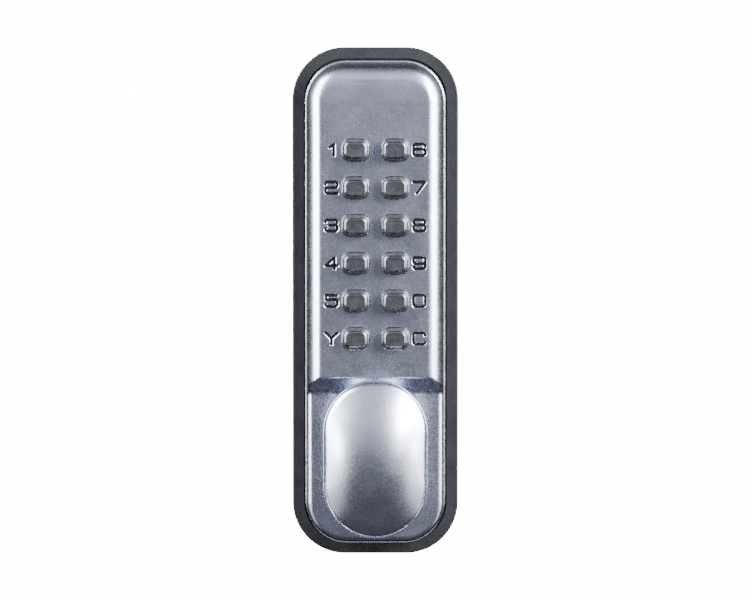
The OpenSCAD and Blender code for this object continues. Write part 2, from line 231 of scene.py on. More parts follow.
def metal(name, dark, light, rough, grain, depth, blotch=120.0, stretch=None):
    """Metal: a colour that drifts over some millimetres, uneven gloss and a fine grain in the bump.

    grain and blotch are in cells per metre, depth is the grain's bump in microns.
    """
    material, nodes, links, shader = new_material(name)
    shader.inputs["Metallic"].default_value = 1.0
    clouds = noise(nodes, links, blotch, detail=4.0, stretch=stretch)
    fine = noise(nodes, links, grain, detail=2.0, stretch=stretch)
    links.new(ramp(nodes, links, clouds, dark, light), shader.inputs["Base Color"])
    gloss = nodes.new("ShaderNodeMath")
    gloss.operation = "ADD"
    links.new(ranged(nodes, links, clouds, *rough), gloss.inputs[0])
    links.new(ranged(nodes, links, fine, -0.03, 0.03), gloss.inputs[1])
    links.new(gloss.outputs[0], shader.inputs["Roughness"])
    links.new(bump(nodes, links, fine, depth * MICRON, 1.0), shader.inputs["Normal"])
    return material


def satin_chrome(name):
    """The satin plating of the cover and the knob."""
    dark, light = (0.55, 0.575, 0.70), (0.60, 0.625, 0.755)
    return metal(name, dark, light, rough=(0.24, 0.28), grain=2400.0, depth=3.5)


def button_metal(name):
    """The darker satin metal of the button caps."""
    dark, light = (0.20, 0.20, 0.225), (0.25, 0.25, 0.275)
    return metal(name, dark, light, rough=(0.25, 0.31), grain=3200.0, depth=5.0, blotch=400.0)


def zinc_steel(name):
    """Yellow-passivated zinc on steel."""
    dark, light = (0.52, 0.50, 0.40), (0.70, 0.66, 0.50)
    return metal(name, dark, light, rough=(0.30, 0.45), grain=1500.0, depth=10.0, blotch=90.0)


def turned_steel(name):
    """Steel with the fine rings of a lathe."""
    dark, light = (0.50, 0.51, 0.53), (0.64, 0.65, 0.67)
    rings = (0.15, 3.0, 0.15)
    return metal(
        name, dark, light, rough=(0.22, 0.34), grain=4200.0, depth=10.0, blotch=200.0, stretch=rings
    )


def screw_steel(name):
    """Dull dark steel."""
    dark, light = (0.34, 0.35, 0.37), (0.50, 0.51, 0.53)
    return metal(name, dark, light, rough=(0.28, 0.42), grain=3000.0, depth=12.0, blotch=500.0)


def spring_steel(name):
    """Bright drawn wire."""
    dark, light = (0.56, 0.57, 0.59), (0.70, 0.71, 0.73)
    return metal(name, dark, light, rough=(0.18, 0.28), grain=3500.0, depth=6.0, blotch=700.0)


def cast_brass(name):
    """Brass with the rough skin of a casting."""
    dark, light = (0.52, 0.37, 0.16), (0.68, 0.51, 0.25)
    return metal(name, dark, light, rough=(0.30, 0.46), grain=1400.0, depth=20.0, blotch=110.0)


def sheet_brass(name):
    """Brass with the faint upright lines of rolled sheet."""
    dark, light = (0.66, 0.50, 0.25), (0.74, 0.57, 0.29)
    lines = (1.0, 1.0, 0.12)
    return metal(
        name, dark, light, rough=(0.28, 0.36), grain=2400.0, depth=4.0, blotch=160.0, stretch=lines
    )


def rubber_gasket(name):
    """Moulded black rubber: faint mottling, fine matt grain and slow unevenness in the sheen."""
    material, nodes, links, shader = new_material(name)
    clouds = noise(nodes, links, 160.0, detail=6.0)
    fine = noise(nodes, links, 5200.0, detail=3.0)
    colour = ramp(nodes, links, clouds, (0.005, 0.0054, 0.0068), (0.0095, 0.0102, 0.0128))
    links.new(colour, shader.inputs["Base Color"])
    links.new(ranged(nodes, links, clouds, 0.5, 0.72), shader.inputs["Roughness"])
    shader.inputs["Specular IOR Level"].default_value = 0.17
    soft = bump(nodes, links, clouds, 200 * MICRON, 0.5)
    links.new(bump(nodes, links, fine, 40 * MICRON, 0.8, soft), shader.inputs["Normal"])
    return material


def nylon_washer(name):
    """Milky nylon."""
    material, nodes, links, shader = new_material(name)
    clouds = noise(nodes, links, 300.0)
    colour = ramp(nodes, links, clouds, (0.72, 0.71, 0.66), (0.86, 0.85, 0.80))
    links.new(colour, shader.inputs["Base Color"])
    shader.inputs["Roughness"].default_value = 0.5
    links.new(bump(nodes, links, clouds, 30 * MICRON, 0.5), shader.inputs["Normal"])
    return material


def mark_paint(name):
    """Dull black in the bottom of the marks: a filling, and painted shade deep in the grooves."""
    material, nodes, links, shader = new_material(name)
    # the dark colour stands for both a filling and painted shade deep in the grooves
    clouds = noise(nodes, links, 900.0)
    colour = ramp(nodes, links, clouds, (0.003, 0.003, 0.004), (0.008, 0.008, 0.01))
    links.new(colour, shader.inputs["Base Color"])
    shader.inputs["Roughness"].default_value = 0.8
    shader.inputs["Specular IOR Level"].default_value = 0.05
    links.new(bump(nodes, links, clouds, 20 * MICRON, 0.5), shader.inputs["Normal"])
    return material


LOOKS = {
    make.__name__: make(make.__name__)
    for make in (
        satin_chrome, button_metal, zinc_steel, turned_steel, screw_steel, spring_steel,
        cast_brass, sheet_brass, rubber_gasket, nylon_washer, mark_paint,
    )
}

# ---------------------------------------------------------------- mesh building


def point(x, out, z):
    """A place in metres in the frame's axes."""
    return (x * MM, -out * MM, z * MM)


def add_mesh(name, points, faces):
    """A mesh object from points in (x, out, z) millimetres, with its faces turned outwards."""
    mesh = bpy.data.meshes.new(name)
    mesh.from_pydata([point(*p) for p in points], [], faces)
    solid = bmesh.new()
    solid.from_mesh(mesh)
    bmesh.ops.recalc_face_normals(solid, faces=solid.faces)
    solid.to_mesh(mesh)
    solid.free()
    piece = bpy.data.objects.new(name, mesh)
    bpy.context.scene.collection.objects.link(piece)
    return piece


def loft(name, rings, looped=False):
    """Skin closed rings with the same number of points: capped at both ends, or looped round."""
    count = len(rings[0])
    points = [p for ring in rings for p in ring]
    spans = len(rings) if looped else len(rings) - 1
    faces = []
    for i in range(spans):
        a, b = i * count, (i + 1) % len(rings) * count
        for k in range(count):
            n = (k + 1) % count
            faces.append((a + k, a + n, b + n, b + k))
    if not looped:
        faces.append(tuple(range(count)))
        faces.append(tuple(range(len(points) - count, len(points))))
    return add_mesh(name, points, faces)


def arc(start, end, steps):
    """Angles in radians from start to end degrees, both ends included."""
    return [math.radians(start + (end - start) * i / steps) for i in range(steps + 1)]


def outline(half_w, half_h, r, steps, sides=1):
    """Points (x, z) round a rounded rectangle about the origin; sides splits each upright side."""
    points = []
    for corner in range(4):
        cx = (half_w - r) * (1 if corner in (0, 3) else -1)
        cz = (half_h - r) * (1 if corner in (0, 1) else -1)
        for a in arc(90 * corner, 90 * corner + 90, steps):
            points.append((cx + r * math.cos(a), cz + r * math.sin(a)))
        if corner in (1, 3):
            side_x = points[-1][0]
            points += [(side_x, cz * (1 - 2 * i / sides)) for i in range(1, sides)]
    return points


def stacked(name, half_w, half_h, r, profile, steps, x=0.0, z=0.0, looped=False):
    """Rounded rectangles at the (inset, out) steps of a profile, skinned into one solid."""
    rings = []
    for inset, out in profile:
        ring = outline(half_w - inset, half_h - inset, max(r - inset, 0.02), steps)
        rings.append([(x + px, out, z + pz) for px, pz in ring])
    return loft(name, rings, looped)


def turned(name, profile, x=0.0, z=0.0, steps=48, looped=False):
    """A solid turned about an axis along y, from (radius, out) steps."""
    rings = []
    for radius, out in profile:
        ring = [2 * math.pi * k / steps for k in range(steps)]
        rings.append([(x + radius * math.cos(a), out, z + radius * math.sin(a)) for a in ring])
    return loft(name, rings, looped)


def rounded(inset, out, r):
    """Steps of a convex edge, from the side wall up onto the face, as (inset, out)."""
    return [(inset + r * (1 - math.cos(a)), out - r + r * math.sin(a)) for a in arc(0, 90, 5)]


def neighbours(line, i, closed):
    """The points before and after point i of a line; an open end is its own neighbour."""
    if closed:
        return line[i - 1], line[(i + 1) % len(line)]
    return line[max(i - 1, 0)], line[min(i + 1, len(line) - 1)]


def tube(name, path, wire_r, sides):
    """Round wire along an open path of (x, out, z) points."""
    line = [Vector(p) for p in path]
    rings = []
    normal = None
    for i, here in enumerate(line):
        before, after = neighbours(line, i, False)
        along = (after - before).normalized()
        if normal is None:
            normal = along.orthogonal().normalized()
        normal = (normal - along * normal.dot(along)).normalized()
        side = along.cross(normal)
        ring = [2 * math.pi * k / sides for k in range(sides)]
        rings.append([tuple(here + (normal * math.cos(a) + side * math.sin(a)) * wire_r) for a in ring])
    return loft(name, rings)


def evaluated(piece):
    """Apply every modifier of a piece to its mesh."""
    bpy.context.view_layer.update()
    graph = bpy.context.evaluated_depsgraph_get()
    mesh = bpy.data.meshes.new_from_object(piece.evaluated_get(graph))
    piece.modifiers.clear()
    old = piece.data
    piece.data = mesh
    mesh.name = piece.name
    bpy.data.meshes.remove(old)


def cut(piece, cutters, operation="DIFFERENCE"):
    """Cut the cutters out of a piece, one after another, and throw them away."""
    for cutter in cutters:
        step = piece.modifiers.new("cut", "BOOLEAN")
        step.operation = operation
        step.object = cutter
        step.solver = "MANIFOLD"
    evaluated(piece)
    for cutter in cutters:
        bpy.data.meshes.remove(cutter.data)


def smooth(piece, angle):
    """Smooth shading with crisp edges above an angle, and flat faces kept flat."""
    for face in piece.data.polygons:
        face.use_smooth = True
    piece.data.set_sharp_from_angle(angle=math.radians(angle))
    weights = piece.modifiers.new("weights", "WEIGHTED_NORMAL")
    weights.keep_sharp = True
    weights.weight = 80
    evaluated(piece)


def finish_piece(piece, look, body, node, angle=32.0):
    """Shade a piece, give it its material and body, and let it stand for its CAD node."""
    smooth(piece, angle)
    piece.data.materials.clear()
    piece.data.materials.append(LOOKS[look])
    if body:
        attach(piece, body)
    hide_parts(node)


def joined(name, pieces):
    """Several objects as one mesh."""
    whole = bmesh.new()
    for part in pieces:
        whole.from_mesh(part.data)
        bpy.data.meshes.remove(part.data)
    mesh = bpy.data.meshes.new(name)
    whole.to_mesh(mesh)
    whole.free()
    piece = bpy.data.objects.new(name, mesh)
    bpy.context.scene.collection.objects.link(piece)
    return piece


def eased(node, look, body, width):
    """A CAD node's own shape with its sharp edges eased by a width in mm, standing for the node."""
    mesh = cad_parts[node].data.copy()
    solid = bmesh.new()
    solid.from_mesh(mesh)
    bmesh.ops.remove_doubles(solid, verts=solid.verts, dist=2 * MICRON)
    flat = math.radians(1.0)
    bmesh.ops.dissolve_limit(solid, angle_limit=flat, verts=solid.verts, edges=solid.edges)
    solid.to_mesh(mesh)
    solid.free()
    for attribute in [a.name for a in mesh.attributes if a.name.startswith("custom_normal")]:
        mesh.attributes.remove(mesh.attributes[attribute])
    piece = bpy.data.objects.new(node + "_eased", mesh)
    bpy.context.scene.collection.objects.link(piece)
    bevel = piece.modifiers.new("ease", "BEVEL")
    bevel.width = width * MM
    bevel.segments = 2
    bevel.limit_method = "ANGLE"
    bevel.angle_limit = math.radians(40.0)
    bevel.use_clamp_overlap = True
    evaluated(piece)
    finish_piece(piece, look, body, node)


# ---------------------------------------------------------------- cover


def slope_line():
    """The step seen from the side, as (z, out) from the platform up to the keypad face."""
    run, rise = SLOPE_TOP_Z - SLOPE_FOOT_Z, COVER.front - PLATFORM_OUT
    lean = math.atan2(rise, run)
    line = []
    for r, z, out, up in (
        (SLOPE_FOOT_R, SLOPE_FOOT_Z, PLATFORM_OUT, 1),
        (SLOPE_TOP_R, SLOPE_TOP_Z, COVER.front, -1),
    ):
        reach = r * math.tan(lean / 2)
        for a in [lean * i / 6 for i in range(7)]:
            turn = a if up > 0 else lean - a
            along = -reach + r * math.sin(turn)
            height = r * (1 - math.cos(turn))
            line.append((z + up * along, out + up * height))
    return line


def stations():
    """Stations up the cover's right side: (x, z) of its corner arc's centre and the outward way."""
    cx, low, high = COVER.half_w - CORNER_R, COVER.z0 + CORNER_R, COVER.z1 - CORNER_R
    slope_start, face_start = SLOPE_FOOT_Z - 4, SLOPE_TOP_Z + 2
    heights = [low + (slope_start - low) * i / 4 for i in range(1, 5)]
    bends = [z for z, _ in slope_line()]
    for z0, z1 in zip(bends, bends[1:]):
        cuts = SLOPE_CUTS if z1 - z0 > 1 else 1
        heights += [z0 + (z1 - z0) * i / cuts for i in range(cuts)]
    heights.append(bends[-1])
    heights += [face_start + (high - face_start) * i / 12 for i in range(12)]
    lower = [(cx, low, math.cos(a), math.sin(a)) for a in arc(-90, 0, CORNER_STEPS)]
    upper = [(cx, high, math.cos(a), math.sin(a)) for a in arc(0, 90, CORNER_STEPS)]
    return lower + [(cx, z, 1.0, 0.0) for z in heights] + upper


def height_at(z):
    """How far the cover's face stands out at a height z."""
    line = slope_line()
    if z <= line[0][0]:
        return PLATFORM_OUT
    for (z0, out0), (z1, out1) in zip(line, line[1:]):
        if z <= z1:
            return out0 + (out1 - out0) * (z - z0) / (z1 - z0)
    rise = max(z - CROWN_Z, 0.0) / (COVER.z1 - CROWN_Z)
    return COVER.front - CROWN_DROP * rise * rise


def ease_at(out, z):
    """Radius that breaks the edge between the shoulder and the face, softest along the top."""
    rise = max(z - COVER.z1 + CORNER_R, 0.0) / CORNER_R
    fall = (COVER.front - out) / (COVER.front - PLATFORM_OUT)
    if fall <= FACE_SHARE:
        return BREAK_R + (TOP_BREAK_R - BREAK_R) * rise ** 2
    return RIDGE_R + (PLATFORM_EDGE - RIDGE_R) * fall ** 2


def shoulder_steps(out, ease):
    """Steps (inset, out) from the wall up the shoulder, over its eased edge and onto the face."""
    wall = LIP_W + DRAFT
    tilt = math.acos(min(max((out - SHOULDER_CENTRE) / SHOULDER_R, 0.02), 1.0))
    corner = wall + SHOULDER_R * (1 - math.sin(tilt))
    reach = ease * math.tan(tilt / 2)
    last = min(tilt + reach / SHOULDER_R, SHOULDER_FOOT_TILT)
    line = []
    for i in range(SHOULDER_STEPS):
        a = SHOULDER_FOOT_TILT + (last - SHOULDER_FOOT_TILT) * i / (SHOULDER_STEPS - 1)
        inset, level = 1 - math.sin(a), math.cos(a)
        line.append((wall + SHOULDER_R * inset, SHOULDER_CENTRE + SHOULDER_R * level))
    start, arc_top = line[-1]
    edge_out = min(arc_top, out - ease * (1 - math.cos(tilt)) + 0.01)
    line = [(inset, level + edge_out - arc_top) for inset, level in line]
    end = max(corner + reach, start + 0.05)
    for i in range(1, BREAK_STEPS + 1):
        a = tilt * (1 - i / BREAK_STEPS)
        share = (math.sin(tilt) - math.sin(a)) / max(math.sin(tilt), 0.01)
        rise = (math.cos(a) - math.cos(tilt)) / (1 - math.cos(tilt))
        line.append((start + (end - start) * share, edge_out + (out - edge_out) * rise))
    return line


def cover_profile(z):
    """Steps (inset, out) from the inner face round the rim and up to the outer face, at a height z."""
    out, back = height_at(z), COVER.back
    inner_out = height_at(z - HOLLOW_SHIFT) - WALL
    inner_r = 0.5 if inner_out < PLATFORM_OUT - 1 else 1.6
    inner = rounded(RIM_W, inner_out, inner_r)[::-1]
    rim = [(RIM_W, back + 0.2), (RIM_W - 0.2, back), (0.1, back), (0.0, back + 0.1)]
    lip = [(0.0, LIP_OUT - 0.4), (0.06, LIP_OUT - 0.16), (0.2, LIP_OUT - 0.02), (0.32, LIP_OUT)]
    fillet = [(LIP_W + 0.05, LIP_OUT + 0.05), (LIP_W + 0.15, LIP_OUT + 0.25)]
    return inner + rim + lip + fillet + shoulder_steps(out, ease_at(out, z))


def cover_shell():
    """The whole casting without its openings: both skins, the rim between them and the two faces."""
    chain = stations()
    rings = []
    for side in (1, -1):
        for cx, cz, dx, dz in chain if side > 0 else chain[::-1]:
            z = cz + CORNER_R * dz if dx < 1.0 else cz
            ring = []
            for inset, out in cover_profile(z):
                r = CORNER_R - inset
                ring.append((side * (cx + r * dx), out, cz + r * dz))
            rings.append(ring)
    count, steps = len(rings), len(rings[0])
    points = [p for ring in rings for p in ring]
    faces = []
    for i in range(count):
        n = (i + 1) % count
        for k in range(steps - 1):
            faces.append((i * steps + k, n * steps + k, n * steps + k + 1, i * steps + k + 1))
    for i in range(count // 2 - 1):
        j = count - 1 - i
        for k in (0, steps - 1):
            faces.append(
                (i * steps + k, (i + 1) * steps + k, (j - 1) * steps + k, j * steps + k)
            )
    return add_mesh("cover_casting", points, faces)


def window_cutter(key):
    """The opening round one button, with a fine chamfer at the face."""
    button_box = Place("button_" + key)
    half_w = button_box.half_w - BUTTON_FLANGE + WINDOW_GAP
    half_h = button_box.half_h - BUTTON_FLANGE + WINDOW_GAP
    face = COVER.front
    profile = [
        (0.0, face - 2 * WALL), (0.0, face - WINDOW_CHAMFER),
        (-0.07, face - 0.07), (-WINDOW_CHAMFER - 0.1, face + 0.1),
    ]
    r = BUTTON_R + WINDOW_GAP
    return stacked("window", half_w, half_h, r, profile, 8, button_box.x, button_box.z)


def filleted(points, r, closed=False):
    """A polyline with its corners rounded off, as (x, z) points."""
    line = []
    count = len(points)
    for i, here in enumerate(points):
        if not closed and i in (0, count - 1):
            line.append(here)
            continue
        a, b = Vector(points[i - 1]), Vector(points[(i + 1) % count])
        corner = Vector(here)
        to_a, to_b = (a - corner), (b - corner)
        half = to_a.angle(to_b) / 2
        room_a = to_a.length * (1.0 if i == 1 and not closed else 0.5)
        room_b = to_b.length * (1.0 if i == count - 2 and not closed else 0.5)
        reach = min(r / math.tan(half), room_a, room_b)
        radius = reach * math.tan(half)
        middle = (to_a.normalized() + to_b.normalized()).normalized()
        centre = corner + middle * radius / math.sin(half)
        first = corner + to_a.normalized() * reach - centre
        last = corner + to_b.normalized() * reach - centre
        turn = math.atan2(first.cross(last), first.dot(last))
        for k in range(BEND_STEPS + 1):
            angle = turn * k / BEND_STEPS
            c, s = math.cos(angle), math.sin(angle)
            line.append((centre.x + first.x * c - first.y * s, centre.y + first.x * s + first.y * c))
    spaced = [line[0]]
    for here in line[1:]:
        if (Vector(here) - Vector(spaced[-1])).length > POINT_GAP:
            spaced.append(here)
    if closed and (Vector(spaced[0]) - Vector(spaced[-1])).length < POINT_GAP:
        spaced.pop()
    return spaced


def mark_strokes(key):
    """The strokes of a mark in a box from -1 to 1, each (points, fillet, closed)."""
    near, far = 0.12, 0.58
    hook = [(0.96, far), (0.96, 1), (-1, 1), (-1, -0.3)]
    bowl = [(-1, near), (1, near), (1, -1), (-1, -1)]
    tail = [(1, -1), (-1, -1), (-1, -far)]
    return {
        "1": [([(-0.28, 0.42), (0.42, 1), (0.42, -1)], SHARP, False)],
        "2": [([(-1, far), (-1, 1), (1, 1), (1, 0), (-1, 0), (-1, -1), (1, -1)], BEND, False)],
        "3": [
            ([(-1, far), (-1, 1), (0.94, 1), (0.94, 0.03), (-0.4, 0.03)], BEND, False),
            ([(0.3, 0.03), (1, 0.03)] + tail, BEND, False),
        ],
        "4": [([(0.52, -1), (0.52, 1), (-1, -0.42), (1, -0.42)], SHARP, False)],
        "5": [
            ([(0.94, 1), (-0.9, 1), (-0.9, 0.2)], SHARP, False),
            ([(-0.9, 0.2), (1, 0.2)] + tail, BEND, False),
        ],
        "y": [([(-1, 1), (0, 0.02), (1, 1)], SHARP, False), ([(0, 0.02), (0, -1)], SHARP, False)],
        "6": [(hook, BEND, False), (bowl, BEND, True)],
        "7": [([(-1, 1), (1, 1), (-0.42, -1)], SHARP, False)],
        "8": [
            ([(-0.94, 1), (0.94, 1), (0.94, 0.05), (-0.94, 0.05)], BEND, True),
            ([(-1, 0.05), (1, 0.05), (1, -1), (-1, -1)], BEND, True),
        ],
        "9": [([(-x, -z) for x, z in hook], BEND, False), ([(-x, -z) for x, z in bowl], BEND, True)],
        "0": [([(-1, 1), (1, 1), (1, -1), (-1, -1)], BEND, True)],
        "c": [([(1, far), (1, 1), (-1, 1), (-1, -1), (1, -1), (1, -far)], BEND, False)],
    }[key]


def mark_middle(key):
    """The middle (x, z) of a mark, on its button's outer side."""
    button_box = Place("button_" + key)
    return button_box.x + MARK_REACH * (1 if button_box.x > 0 else -1), button_box.z


def mark_paths(key):
    """The mark's strokes on the face, in (x, z) millimetres; one stroke ends at each sharp corner."""
    x, z = mark_middle(key)
    for points, fillet, closed in mark_strokes(key):
        scaled = [(x + px * MARK_HALF_W, z + pz * MARK_HALF_H) for px, pz in points]
        if fillet:
            yield filleted(scaled, fillet * 2 * MARK_HALF_H, closed), closed
            continue
        for a, b in zip(scaled, scaled[1:]):
            yield [a, b], False


def groove(path, closed, sink):
    """A cutter with the marks' cross-section swept along a path on the face."""
    line = [Vector(p) for p in path]
    half = [(u, COVER.front + v - sink) for u, v in MARK_SECTION]
    section = [(-u, out) for u, out in half[::-1]] + half
    rings = []
    for i, here in enumerate(line):
        before, after = neighbours(line, i, closed)
        side = (after - before).normalized().orthogonal()
        rings.append([(here.x + side.x * u, out, here.y + side.y * u) for u, out in section])
    return loft("groove", rings, closed)


def mark_cutters(key):
    """Grooves along the mark's strokes, with a round plug at every open end.

    Each lies a hair deeper than the last, so that no two bottoms share a plane.
    """
    cutters = []
    for path, closed in mark_paths(key):
        cutters.append(groove(path, closed, MARK_SINK * len(cutters)))
        for x, z in () if closed else (path[0], path[-1]):
            sink = MARK_SINK * len(cutters)
            plug = [(u, COVER.front + v - sink) for u, v in MARK_SECTION]
            cutters.append(turned("plug", plug, x, z, 20))
    return cutters


def paint_marks(piece):
    """Dark colour in the bottom of the marks, a filling and painted shade: the faces near a mark that lie
    below the cover's face.
    """
    # black in the marks' bottoms: a filling, and painted shade deep in the grooves
    piece.data.materials.append(LOOKS["mark_paint"])
    low, high = COVER.front - PAINT_FLOOR, COVER.front - PAINT_DEPTH
    middles = [mark_middle(key) for key in KEYS]
    for face in piece.data.polygons:
        x, out, z = face.center.x / MM, -face.center.y / MM, face.center.z / MM
        near = any(abs(x - mx) < MARK_FIELD and abs(z - mz) < MARK_FIELD for mx, mz in middles)
        if near and low < out < high:
            face.material_index = 1


def cover():
    """The cast cover with its twelve windows, engraved marks and the bore for the knob's bush."""
    piece = cover_shell()
    cutters = []
    for key in KEYS:
        cutters.append(window_cutter(key))
        cutters += mark_cutters(key)
    bore = [(BORE_R, PLATFORM_OUT - 2 * WALL), (BORE_R, PLATFORM_OUT + 1)]
    cutters.append(turned("bore", bore))
    cut(piece, cutters)
    finish_piece(piece, "satin_chrome", "housing", "cover", angle=30.0)
    paint_marks(piece)


def gasket():
    """A flat rubber frame: eased outer edge, a seat for the cover's rim, ribs on its door side."""
    half_w, half_h = GASKET.half_w, GASKET.half_h
    bed = half_w - COVER.half_w
    inner = half_w - (COVER.half_w - RIM_W - 0.9)
    back, face = GASKET.back, GASKET.front
    channel, seat = back + 0.35, face - 1.0
    profile = [
        (0.25, back), (0.0, back + 0.25), (0.0, face - 0.75), (0.1, face - 0.42),
        (0.34, face - 0.2), (0.62, face - 0.14), (0.8, face - 0.2), (1.0, face - 0.2),
        (bed - 0.42, face - 0.2), (bed - 0.34, face - 0.5), (bed - 0.3, seat), (bed + 0.1, seat),
        (bed + 0.16, face - 0.02), (inner - 0.2, face - 0.02), (inner, face - 0.2),
        (inner, back + 0.2), (inner - 0.2, back), (inner - 1.0, back), (inner - 1.2, channel),
        (inner - 1.9, channel), (inner - 2.1, back), (2.4, back), (2.2, channel),
        (1.5, channel), (1.3, back),
    ]
    piece = stacked(
        "gasket_rubber", half_w, half_h, GASKET_R, profile, 20, z=GASKET.z, looped=True
    )
    finish_piece(piece, "rubber_gasket", "housing", "gasket", angle=50.0)


# ---------------------------------------------------------------- buttons


def button(key):
    """A cap with a ledge round its raised top, a flange behind the cover, and its stem."""
    place = Place("button_" + key)
    half_w, half_h = place.half_w - BUTTON_FLANGE, place.half_h - BUTTON_FLANGE
    back, top = place.back + BUTTON_STEM, place.front
    flange = [
        (-BUTTON_FLANGE + 0.15, back), (-BUTTON_FLANGE, back + 0.15),
        (-BUTTON_FLANGE, back + 0.85), (-BUTTON_FLANGE + 0.15, back + 1.0), (0.12, back + 1.0),
    ]
    side = [(0.0, back + 1.2), (0.0, top - 1.05), (0.02, top - 0.72), (0.07, top - 0.65)]
    ledge = [
        (0.14, top - 0.61), (0.22, top - 0.6), (0.48, top - 0.585), (0.64, top - 0.57),
        (0.7, top - 0.52),
    ]
    raised = [
        (0.82, top - 0.3), (0.94, top - 0.12), (1.05, top - 0.03), (1.15, top),
        (1.5, top - 0.01), (2.1, top - 0.04),
    ]
    profile = flange + side + ledge + raised
    cap = stacked("cap", half_w, half_h, BUTTON_R, profile, 10, place.x, place.z)
    stem = [(1.95, place.back), (2.1, place.back + 0.15), (2.1, back + 0.3)]
    cut(cap, [turned("stem", stem, place.x, place.z, 32)], "UNION")
    cap.name = "key_cap_" + key
    finish_piece(cap, "button_metal", "button_" + key, "button_" + key, angle=40.0)


def helix(start, end, turns, steps):
    """Angle and place along the axis for a spring whose end turns lie flat."""
    for i in range(int(turns * steps) + 1):
        turn = i / steps
        share = min(max((turn - REST_TURNS) / (turns - 2 * REST_TURNS), 0.0), 1.0)
        yield 2 * math.pi * turn, start + (end - start) * share


def button_spring(key):
    """The coil that pushes a button back out."""
    place = Place("button_spring_" + key)
    wire_r = 0.24
    r = place.half_w - wire_r
    path = [
        (place.x + r * math.cos(a), out, place.z + r * math.sin(a))
        for a, out in helix(place.back + wire_r, place.front - wire_r, turns=4.6, steps=22)
    ]
    piece = tube("button_coil_" + key, path, wire_r, 8)
    finish_piece(piece, "spring_steel", "housing", "button_spring_" + key, angle=60.0)
    point(place.x, place.back, place.z)
    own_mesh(piece)


# ---------------------------------------------------------------- knob and drive


def knob_outline(half_w, half_h):
    """An upright outline with half-round ends, as (x, z) points."""
    return outline(half_w, half_h, half_w - 0.001, 24, 12)


def knob_side():
    """Rings of the flat underside, the short side wall, the rim line and the fine groove inside it."""
    rim, under = KNOB_RIM_OUT, KNOB_UNDER_OUT
    profile = [
        (2.6, under), (0.5, under + 0.1), (0.16, under + 0.35), (0.0, under + 0.8),
        (0.0, rim - 0.55), (0.03, rim - 0.32), (0.1, rim - 0.17), (0.2, rim - 0.11),
        (0.39, rim - 0.1), (0.42, rim - 0.15), (0.44, rim - 0.48), (0.56, rim - 0.5),
        (0.64, rim - 0.2),
    ]
    for inset, out in profile:
        ring = knob_outline(KNOB.half_w - inset, KNOB.half_h - inset)
        yield [(x, out, z) for x, z in ring]


def knob_dome():
    """Rings of the dome: a circle's arc across, on outlines that turn oval toward the middle."""
    half_w = KNOB.half_w - DOME_INSET
    half_h = KNOB.half_h - KNOB.half_w + half_w
    rise = KNOB.front - KNOB_RIM_OUT
    dome_r = (half_w * half_w + rise * rise) / (2 * rise)
    slope = math.asin(half_w / dome_r)
    edge = knob_outline(half_w, half_h)
    for i in range(1, DOME_STEPS + 1):
        a = slope * (1 - i / (DOME_STEPS + 1))
        share = dome_r * math.sin(a) / half_w
        out = KNOB.front - dome_r + dome_r * math.cos(a)
        straight = share ** 4
        ring = []
        for x, z in edge:
            turn = math.atan2(z / half_h, x / half_w)
            oval_x, oval_z = half_w * math.cos(turn), half_h * math.sin(turn)
            px, pz = oval_x + (x - oval_x) * straight, oval_z + (z - oval_z) * straight
            ring.append((px * share, out, pz * share))
        yield ring


def knob():
    """The oval turn knob with its flared neck, the bore for its shaft and the cross pin's hole."""
    cap = loft("knob_oval", [*knob_side(), *knob_dome()])
    under = KNOB_UNDER_OUT
    neck = [
        (8.7, KNOB.back), (9.0, KNOB.back + 0.3), (9.0, under - 3.0), (9.25, under - 1.6),
        (10.0, under - 0.5), (11.2, under + 0.2), (11.2, under + 1.0),
    ]
    cut(cap, [turned("neck", neck, steps=64)], "UNION")
    play = 0.02
    shaft, pin = Place("knob_shaft"), Place("knob_pin")
    bore = [(shaft.half_w + play, KNOB.back - 1), (shaft.half_w + play, shaft.front + 0.1)]
    pin_out = pin.front - pin.half_h
    ends = [(-KNOB.half_w, pin_out, 0), (KNOB.half_w, pin_out, 0)]
    cut(cap, [turned("bore", bore), tube("hole", ends, pin.half_h + play, 32)])
    cap.name = "turn_knob"
    finish_piece(cap, "satin_chrome", "knob", "knob", angle=40.0)


def return_spring():
    """Coils about the hub with one end in the back plate and the other in the drive disc."""
    place = Place("return_spring")
    wire_r = 0.35
    r = place.half_w - wire_r
    coil_back, coil_front = 3.95, 6.25
    turns, steps = 2.75, 36
    last = int(turns * steps)
    path = [(0, place.back, -r), (0, coil_back - 0.7, -r), (0.12, coil_back - 0.25, -r)]
    for i in range(1, last):
        a = -math.pi / 2 + 2 * math.pi * i / steps
        out = coil_back + (coil_front - coil_back) * i / last
        path.append((r * math.cos(a), out, r * math.sin(a)))
    path += [(-r, coil_front + 0.3, 0.1), (-r, coil_front + 0.8, 0), (-r, place.front, 0)]
    piece = tube("torsion_coil", path, wire_r, 10)
    finish_piece(piece, "spring_steel", None, "return_spring", angle=60.0)
    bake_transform(piece, "housing", "knob", start=point(0, coil_back, 0), end=point(0, coil_front, 0))


def clear_spring():
    """The clearing slide's coil, which lies across the lock."""
    place = Place("clear_spring")
    wire_r = 0.14
    r = place.half_h - wire_r
    middle = (place.back + place.front) / 2
    path = [
        (along, middle + r * math.cos(a), place.z + r * math.sin(a))
        for a, along in helix(place.x0 + wire_r, place.x1 - wire_r, turns=7.5, steps=16)
    ]
    piece = tube("clearing_coil", path, wire_r, 7)
    finish_piece(piece, "spring_steel", "housing", "clear_spring", angle=60.0)
    point(place.x0, middle, place.z)
    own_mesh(piece)


# ---------------------------------------------------------------- screws, posts and spindle


def thread(r, back, front, pitch, depth):
    """A turned profile with thread crests, as (radius, out) steps."""
    steps = []
    out = back
    while out + pitch <= front:
        steps += [(r - depth, out), (r - depth, out + pitch * 0.12)]
        steps += [(r, out + pitch * 0.44), (r, out + pitch * 0.56)]
        steps += [(r - depth, out + pitch * 0.88)]
        out += pitch
    return steps


